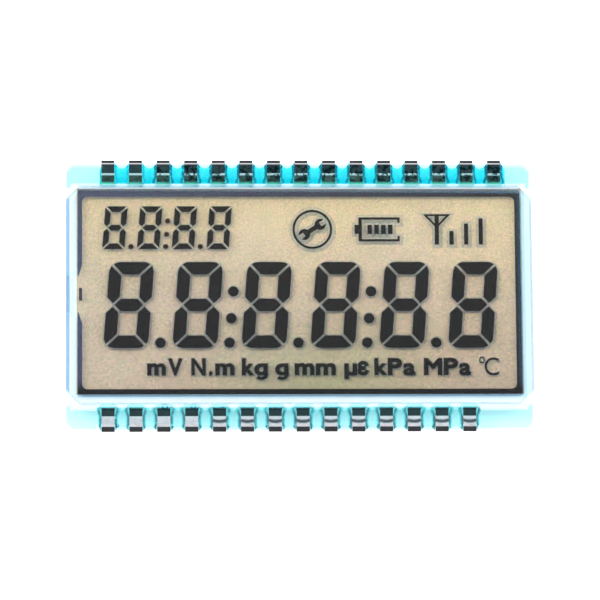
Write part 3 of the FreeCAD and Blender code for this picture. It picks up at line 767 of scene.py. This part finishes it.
def glass_plate(name, low, high, corner, face_finish, edge_finish):
    """One plate; the corner is the length in mm that is cut off each side."""
    clear_choice()
    size, middle_z = high - low, (low.z + high.z) / 2
    bpy.ops.mesh.primitive_cube_add(size=1, location=(high + low) / 2)
    plate = bpy.context.object
    plate.name = name
    plate.scale = (size.x - 2 * AIR, size.y - 2 * AIR, size.z - 2 * AIR)
    bpy.ops.object.transform_apply(location=True, rotation=True, scale=True)
    standing = pick(plate, "EDGE", lambda middle, edge: abs(middle.z - middle_z) < GROUND)
    bpy.ops.mesh.bevel(offset=corner * 2 ** 0.5 * MM, segments=1, affect="EDGES")
    leave()
    half = size.z / 2 - 2 * AIR
    rim = pick(plate, "EDGE", lambda middle, edge: abs(middle.z - middle_z) > half)
    bpy.ops.mesh.bevel(offset=GROUND, segments=2, affect="EDGES")
    turn_outwards()
    wear(plate, face_finish, edge_finish)
    for face in plate.data.polygons:
        face.material_index = 0 if abs(face.normal.z) > 0.999 else 1
    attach(plate, "root")
    print(name, "corners", standing, "rim edges", rim, "faces", len(plate.data.polygons))
    return plate


front_plate = glass_plate("front_plate", plate_low, plate_high, FRONT_CORNER, plate_face, cut_edge)
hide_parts("front_glass")
rear_plate = glass_plate("rear_plate", base_low, base_high, REAR_CORNER, base_face, pale_edge)
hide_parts("rear_glass")

# %% [markdown]
# The pins are stamped from thin sheet and tinned. Bright tin is a mirror with a soft,
# slightly wavy skin,
# so most of what is seen in it is the dark ceiling, crossed by the pale panel of the room.

# %% Tinned pins
tin = new_finish("bright_tin")
where = place(tin)
streak = grain(tin, stretched(tin, where, 3.0, 0.6, 0.6), 0.35, 4.0, 0.6)
blotch = grain(tin, where, 0.8, 4.0, 0.6)
tone = blend_colours(tin, streak, chart(226, 214, 206), chart(246, 236, 229))
wave = add(tin, "Bump", {"Height": blotch, "Strength": 0.18, "Distance": 0.05 * MM})
skin = add(tin, "BsdfPrincipled", {"Base Color": tone, "Metallic": 1.0, "Normal": (wave, 0),
                                   "Roughness": grade(tin, blotch, 0.3, 0.7, 0.08, 0.2)})
show(tin, skin)
pins = [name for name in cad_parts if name.startswith("pin_")]
for name in pins:
    wear(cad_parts[name], tin)
print("pins finished:", len(pins))

# %% [markdown]
# The resin that holds the pins is clear with a blue-green dye. While it was wet it crept up
# the glass wall,
# clung to the pins and sagged between them, and drew back from the edge of the ledge in a
# notch at each gap.
# How deep the resin is at each point is kept on the mesh, because the dye shows more where
# it is deep.
# The finish reads that mark, and further ones that say where it lies over a pin and where painted
# light goes. There is painted shade in strokes beside the pins and along the resin's edge over a
# pin, where the curved resin bends the light. There are painted dark reflections on the heads of
# the top row's pins, and a painted caustic, a bright line along the glass wall.

# %% Resin finish
# In both dyes, side is the colour of painted shade: dark strokes beside the pins, where the curved
# resin bends the light away.
STRONG = {"clear": (0.62, 0.97, 0.97, 1), "deep": (0.015, 0.76, 0.85, 1),
          "side": (0.02, 0.13, 0.23, 1), "over": (0.34, 0.66, 0.55, 1),
          "body": (0.02, 0.85, 0.95, 1), "body_share": 0.16}
WEAK = {"clear": (0.93, 1.0, 1.0, 1), "deep": (0.11, 0.85, 0.88, 1),
        "side": (0.0, 0.33, 0.37, 1), "over": (0.53, 0.98, 1.0, 1),
        "body": (0.70, 0.99, 1.0, 1), "body_share": 0.10}
# The first tint paints dark reflections on the pins' heads, the second paints shade along the
# resin's edge over a pin.
DARK_REFLECTION_TINT, MENISCUS_SHADE_TINT = (0.02, 0.07, 0.10, 1), (0.05, 0.09, 0.10, 1)
RESIN_MARKS = ("resin_depth", "pin_side", "over_pin", "wet_blot", "bright_line", "meniscus")


def resin_finish(name, dye):
    finish = new_finish(name)
    where = place(finish)
    swirl = grain(finish, where, 0.45, 4.0, 0.6)
    streak = grain(finish, stretched(finish, where, 1.0, 0.25, 1.0), 0.25, 3.0)
    depth, side, over, blot, caustic_share, meniscus = [
        (add(finish, "Attribute", attribute_name=mark), "Fac") for mark in RESIN_MARKS]
    # Painted shade: dark strokes beside the pins, broken up by a swirl.
    side_shade_share = product(finish, side, grade(finish, swirl, 0.36, 0.50))
    # Painted dark reflections on the pins' heads, broken up by the swirl.
    dark_reflection_share = product(finish, blot, grade(finish, swirl, 0.50, 0.54))
    lean = product(finish, depth, grade(finish, streak, 0.3, 0.6, 0.72, 1.0))
    tint = blend_colours(finish, lean, dye["clear"], dye["deep"])
    for share, colour in ((side_shade_share, dye["side"]), (over, dye["over"]), (dark_reflection_share, DARK_REFLECTION_TINT),
                          (meniscus, MENISCUS_SHADE_TINT)):
        tint = blend_colours(finish, share, tint, colour)
    upward = looking_up(finish, 0.1, 0.3)
    through = tint_once(finish, tint, upward)
    wet = add(finish, "BsdfAnisotropic", {"Roughness": 0.05, "Color": CLEAR})
    # Along the glass wall the body turns nearly white: a painted caustic, the bright line of light
    # that the resin's slope bends onto the ledge.
    body = blend_colours(finish, caustic_share, dye["body"], (0.93, 1.0, 1.0, 1))
    body_and_caustic = add(finish, "BsdfDiffuse", {"Color": body})
    share = combine(finish, "MAXIMUM", product(finish, lean, dye["body_share"]),
                    product(finish, caustic_share, 0.65))
    inner = blend_shaders(finish, product(finish, share, upward), through, body_and_caustic)
    gloss = product(finish, sheen_share(finish, 0.012), upward)
    return show(finish, blend_shaders(finish, gloss, inner, wet))


strong_resin = resin_finish("strong_resin", STRONG)
weak_resin = resin_finish("weak_resin", WEAK)
print("marks on the resin:", RESIN_MARKS)


# %% [markdown]
# The wet shape is a height over the ledge for every place on it. All lengths below are in mm.
# A reach is the distance from the middle line of the display, and aside is the distance
# from the nearest pin.
# Near the glass wall the resin creeps up, on a pin it follows the pin's sheet, and between
# pins it sags.

# %% Shape of the wet resin
GLASS_WALL, CREEP, CREEP_FADE = 10.1, 0.42, 0.22
PIN_SHEET, SKIN, PIN_RISE, PIN_BEND, PIN_EDGE = 0.30, 0.03, 0.275, 11.4, 0.6
SAG, HIGHEST = 0.26, 0.74


def ease(low, high, value):
    """Goes softly from 0 to 1 while the value goes from low to high."""
    part = min(1, max(0, (value - low) / (high - low)))
    return part * part * (3 - 2 * part)


def band_share(value, low, high, soft):
    return ease(low - soft, low + soft, value) * (1 - ease(high - soft, high + soft, value))


def wet_height(reach, aside, cover):
    """Height of the resin over the ledge; it wets a pin out to the cover."""
    creep = CREEP * math.exp(-(reach - GLASS_WALL) / CREEP_FADE)
    on_pin = PIN_SHEET + PIN_RISE * max(0, reach - PIN_BEND) + SKIN
    on_pin += 0.22 * ease(11.2, 10.5, reach)
    over_pin = on_pin - 0.35 * ease(cover, cover + 0.12, reach)
    between = SAG + 0.14 * ease(11.2, 10.4, reach) - 0.15 * ease(11.5, 12.2, reach)
    near = ease(1.0, 0.55, aside)
    return min(HIGHEST, creep + over_pin * near + between * (1 - near))


print("resin between pins at 11 mm:", round(wet_height(11.0, 1.3, 12.0), 2), "mm high")


# %% Marks on the wet resin
def resin_marks(reach, aside, x, height, bead):
    """What the finish has to know of a place: its depth, how it lies to the nearest pin, and where
    painted shade, painted dark reflections and a painted caustic go.
    """
    seed, late = bead["seed"], bead["late"]
    on_pin = ease(0.66, 0.58, aside) * ease(12.62, 12.5, reach)
    wave = 0.06 * math.sin(x * 1.7 + seed) + 0.04 * math.sin(x * 4.3 - seed)
    creep = ease(10.52, 10.40, reach + wave) * (1 - 0.45 * ease(0.9, 0.6, aside))
    flare = 0.16 * ease(11.2, 10.6, reach) + 0.10 * ease(11.9, 12.3, reach)
    near_pin = 1 - bead["pale_middle"] * (1 - ease(1.02, 0.80, aside - flare))
    curve = 11.45 + 0.10 * (1 - (aside / PIN_EDGE) ** 2)
    meniscus = 0.0
    # Painted shade: dark bands where the resin's edge lies over a pin and bends the light away,
    # one at the pins' inner ends and one across the later pins.
    if bead["bands"]:
        meniscus = 0.85 * band_share(reach, 10.44, 10.64, 0.05) * ease(0.66, 0.60, aside)
        if bead["number"] >= 4:
            meniscus += 0.95 * band_share(reach, curve, curve + 0.32, 0.05) * on_pin
    # Painted shade: dark strokes beside the pins and at their heads, where the resin bends the
    # light away.
    side_shade = band_share(aside, 0.61 + flare, 0.80 + flare, 0.06) * ease(10.35, 10.6, reach) * late
    head = 0.7 * band_share(reach, 10.34, 10.46, 0.05) * ease(0.9, 0.7, aside)
    return {
        "resin_depth": min(1, height / 0.40) * near_pin * (1 - 0.95 * on_pin) * (1 - 0.75 * creep),
        "pin_side": side_shade + head,
        "over_pin": on_pin * ease(11.30, 11.15, reach),
        # Painted dark reflections on the heads of the later pins.
        "wet_blot": bead["reflection_blots"] * on_pin * (late - 0.25) * ease(10.5, 10.7, reach),
        # A painted caustic: a bright line along the glass wall.
        "bright_line": creep * band_share(reach, 10.12, 10.36, 0.05),
        "meniscus": meniscus,
    }


print("strokes beside a pin start", round(0.61 - PIN_EDGE, 2), "mm from its edge")

# %% [markdown]
# A grid is laid on the ledge, raised into a thin slab, and its top is then moved to the wet shape.
# The grid is fine enough to give every pin thirty columns, so that the cling at its sides
# comes out round.
# The top row's resin is strongly dyed and full. The bottom row's is weaker, and pale in the
# middle of the gaps.

# %% Resin beads
COLUMNS, ROWS = 30, 26


def pin_centre(name):
    return (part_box(name)[0].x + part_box(name)[1].x) / 2 / MM


def resin_bead(name, node, row, finish, seed, notch, reflection_blots, early, bands, pale_middle,
               late_start, cover):
    """The resin of one row: notch is how far it draws back in a gap; the blots are painted dark
    reflections on the pins' heads and the bands painted shade along the resin's edge over a pin,
    which begin at the pin with the number early; cover is how far out it wets a pin."""
    low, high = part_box(node)
    low = low + Vector((late_start * MM, 0, 0))
    centres = sorted(pin_centre(pin) for pin in row)
    pitch = centres[1] - centres[0]
    sign = 1 if low.y > 0 else -1
    wall, border = min(abs(low.y), abs(high.y)) / MM, max(abs(low.y), abs(high.y)) / MM
    clear_choice()
    bpy.ops.mesh.primitive_grid_add(x_subdivisions=COLUMNS * len(row), y_subdivisions=ROWS, size=1)
    bead = bpy.context.object
    bead.name = name
    size = high - low
    middle = ((low.x + high.x) / 2, (low.y + high.y) / 2, low.z)
    bead.data.transform(Matrix.Translation(middle)
                        @ Matrix.Diagonal((size.x - 2 * AIR, size.y - 2 * AIR, 1, 1)))
    pick(bead, "FACE")
    bpy.ops.mesh.extrude_region_move(TRANSFORM_OT_translate={"value": (0, 0, 0.1 * MM)})
    turn_outwards()
    for mark in RESIN_MARKS:
        bead.data.attributes.new(mark, "FLOAT", "POINT")
    marks = {mark: bead.data.attributes[mark] for mark in RESIN_MARKS}
    facts = {"seed": seed, "reflection_blots": reflection_blots, "bands": bands, "pale_middle": pale_middle}
    for vertex in bead.data.vertices:
        x, reach = vertex.co.x / MM, abs(vertex.co.y) / MM
        nearest = min(centres, key=lambda centre: abs(centre - x))
        aside = abs(x - nearest)
        gap = abs(aside - pitch / 2)
        end = min(x - low.x / MM, high.x / MM - x)
        drawn = notch * max(0, 1 - gap / 0.74) if centres[0] < x < centres[-1] else 0.0
        drawn += 0.5 * max(0, 1 - end / 0.42) ** 2
        share = (reach - wall) / (border - wall)
        cling = 0.22 * ease(0.95, 0.62, aside) if end > 0.3 else 0.0
        edge = border + cling - drawn - 0.03 * math.sin(x * 2.3 + seed)
        reach = wall + share * (edge - wall)
        height = wet_height(reach, aside, cover) * (1 - 0.6 * max(0, 1 - end / 0.3) ** 2)
        height += 0.02 * math.sin(x * 3.1 + seed) * math.sin(reach * 4 + seed)
        if vertex.co.z > low.z + 0.05 * MM:
            fall = 1 - 0.35 * max(0, (share - 0.86) / 0.14) ** 2
            vertex.co.z = low.z + max(0.06, height * fall) * MM
        vertex.co.y = sign * reach * MM
        facts["number"] = centres.index(nearest)
        facts["late"] = 1.0 if facts["number"] >= early else 0.25
        for mark, value in resin_marks(reach, aside, x, height, facts).items():
            marks[mark].data[vertex.index].value = value
    bpy.ops.object.shade_smooth_by_angle(angle=math.radians(40))
    wear(bead, finish)
    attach(bead, "root")
    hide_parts(node)
    print(name, "faces", len(bead.data.polygons))
    return bead


top_row = [pin for pin in pins if "top" in pin]
bottom_row = [pin for pin in pins if "bottom" in pin]
resin_bead("resin_top", "resin_bead_top", top_row, strong_resin, seed=0.4, notch=0.42,
           reflection_blots=1.2, early=2, bands=False, pale_middle=0.0, late_start=0.28, cover=12.10)
resin_bead("resin_bottom", "resin_bead_bottom", bottom_row, weak_resin, seed=2.1, notch=0.12,
           reflection_blots=0.0, early=0, bands=True, pale_middle=0.62, late_start=0.0, cover=11.95)

# %% [markdown]
# Air that was caught when the resin was laid shows as small rings beside the heads of some pins.
# One bubble is a ball with its underside pressed flat, and the others are copies of it.
# Only its flanks are tinted, in painted shade: a bubble in clear resin bends the light away at its
# flanks, so it shows as a ring and not as a disc.

# %% Air bubbles
BALL = 0.24
bubble_skin = new_finish("bubble_skin")
# The ring is painted shade on the bubble's flanks.
ring = product(bubble_skin, looking_up(bubble_skin, 0.90, 0.70), looking_up(bubble_skin, 0.0, 0.1))
show(bubble_skin, tint_once(bubble_skin, (0.02, 0.42, 0.58, 1), ring))


def first_bubble(radius):
    clear_choice()
    bpy.ops.mesh.primitive_uv_sphere_add(segments=16, ring_count=10, radius=radius)
    ball = bpy.context.object
    pick(ball, "VERT", lambda middle, vertex: middle.z < -0.3 * radius)
    bpy.ops.transform.resize(value=(1.1, 1.1, 0.3), center_override=(0, 0, -0.3 * radius))
    leave()
    bpy.ops.object.shade_smooth()
    wear(ball, bubble_skin)
    return ball


top_centres = sorted(pin_centre(name) for name in top_row)
bottom_centres = sorted(pin_centre(name) for name in bottom_row)
BUBBLES = [(top_centres[n] + 0.50 - 0.03 * (n % 3), 10.30, 0.80 + 0.1 * (n % 2))
           for n in range(1, 9)]
BUBBLES += [(bottom_centres[2] + 0.10, -10.36, 1.15), (bottom_centres[3] + 0.14, -10.36, 1.0),
            (bottom_centres[4] + 0.30, -10.34, 0.6), (bottom_centres[0] + 0.85, -12.05, 0.7)]
mould = first_bubble(BALL * MM)
for number, (across, along, swell) in enumerate(BUBBLES):
    bubble = mould.copy()
    bubble.data = mould.data.copy()
    bpy.context.scene.collection.objects.link(bubble)
    bubble.name = "air_bubble_%02d" % (number + 1)
    height = 0.48 if abs(along) < 11 else 0.24
    spot = (across * MM, along * MM, ledge + height * MM)
    bubble.data.transform(Matrix.Translation(spot) @ Matrix.Scale(swell, 4))
    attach(bubble, "root")
bpy.data.objects.remove(mould)
print("bubbles", len(BUBBLES))

# %% [markdown]
# The display stands on its pins on a plain white sheet. The sheet sends out a little light
# of its own,
# as a sheet does that is lit from all sides, so that it comes out white and the shadows stay soft.

# %% Floor
clear_choice()
bpy.ops.mesh.primitive_plane_add(size=1.2, location=(0, 0, 0))
floor = bpy.context.object
floor.name = "floor_sheet"
sheet = new_finish("white_sheet")
fibre = grain(sheet, place(sheet), 1.5, 5.0, 0.6)
pale = blend_colours(sheet, fibre, chart(249, 250, 250), chart(254, 254, 254))
paper = add(sheet, "BsdfPrincipled", {"Base Color": pale, "Roughness": 0.9,
                                      "Specular IOR Level": 0.0, "Emission Color": CLEAR,
                                      "Emission Strength": 0.5})
wear(floor, show(sheet, paper))
floor.visible_glossy = False
print("floor sheet", round(floor.dimensions.x, 2), "m wide")

# %% [markdown]
# The room is what the tinned pins mirror. It is dark overhead and has a pale panel behind
# the display,
# pale walls at both sides, which are dimmer below the horizon, and a white ground straight below.

# %% Room
room = bpy.data.worlds.new("pale_room")
room.use_nodes = True
room.node_tree.nodes.clear()
way = add(room, "SeparateXYZ", {"Vector": (add(room, "TexCoord"), "Generated")})
aside, back, above = combine(room, "ABSOLUTE", (way, "X")), (way, "Y"), (way, "Z")
walls = product(room, grade(room, aside, 0.24, 0.42), grade(room, above, -0.10, 0.05, 0.40, 1.0))
panel = product(room, grade(room, back, 0.03, 0.13), grade(room, back, 0.70, 0.64))
panel = product(room, panel, grade(room, above, 0.0, 0.1))
bright = combine(room, "MAXIMUM", walls, panel)
colour = blend_colours(room, bright, (0.045, 0.055, 0.065, 1), (0.82, 0.93, 1.08, 1))
colour = blend_colours(room, grade(room, above, -0.90, -0.95), colour, (1.35, 1.40, 1.45, 1))
air = add(room, "Background", {"Color": colour, "Strength": 1.1})
add(room, "OutputWorld", {"Surface": (air, 0)})
bpy.context.scene.world = room
print("room with", len(room.node_tree.nodes), "nodes")

# %% [markdown]
# Two soft lamps light the display from above, the left one stronger, as in a photographer's
# light tent.
# Neither is mirrored, because a lamp in the glass or in a pin would be a hard white patch.

# %% Lamps
LAMP_DISTANCE, LAMP_SIZE = 0.8, (0.18, 0.30)


def lamp(name, toward, power, colour):
    light = bpy.data.lights.new(name, "AREA")
    light.shape = "RECTANGLE"
    light.size, light.size_y = LAMP_SIZE
    light.energy = power
    light.color = colour
    holder = bpy.data.objects.new(name, light)
    bpy.context.scene.collection.objects.link(holder)
    way = Vector(toward).normalized()
    holder.matrix_world = way.to_track_quat("Z", "Y").to_matrix().to_4x4()
    holder.location = way * LAMP_DISTANCE
    holder.visible_camera = False
    holder.visible_glossy = False
    print(name, power, "W")


lamp("left_lamp", (-0.30, 0.02, 1.0), 2.95, (1.0, 0.91, 0.80))
lamp("right_lamp", (0.20, 0.02, 1.0), 1.75, (1.0, 0.91, 0.82))

# %% [markdown]
# The photograph was taken from nearly straight above, with a long lens. Its scale is 10.90
# pixels to
# the millimetre, so the lens follows from the distance, and the aim from where the display
# lies in it.

# %% Camera
PIXELS_PER_MM, PICTURE, SENSOR = 10.90, 600, 36
DISTANCE = 420 * MM
AIM_RIGHT, AIM_DOWN = 0.7, 4.3
TURN, TILT, ROLL = math.radians(2.5), math.radians(10), math.radians(-0.48)
away = Vector((-math.sin(TURN) * math.cos(TILT), -math.sin(TILT), math.cos(TURN) * math.cos(TILT)))
side = Vector((0, 1, 0)).cross(away).normalized()
top = away.cross(side)
right = math.cos(ROLL) * side + math.sin(ROLL) * top
rise = -math.sin(ROLL) * side + math.cos(ROLL) * top
aim = Vector((0, 0, ledge)) + right * (AIM_RIGHT / PIXELS_PER_MM * MM)
aim -= rise * (AIM_DOWN / PIXELS_PER_MM * MM)
eye = bpy.data.cameras.new("eye")
eye.sensor_width = SENSOR
eye.lens = PIXELS_PER_MM * (DISTANCE / MM) * SENSOR / PICTURE
eye.clip_start = 0.01
viewer = bpy.data.objects.new("eye", eye)
bpy.context.scene.collection.objects.link(viewer)
viewer.matrix_world = Matrix((right, rise, away)).transposed().to_4x4()
viewer.location = aim + away * DISTANCE
bpy.context.scene.camera = viewer
bpy.context.scene.view_settings.view_transform = "Standard"
bpy.context.scene.cycles.transparent_max_bounces = 64
print("lens", round(eye.lens, 1), "mm")
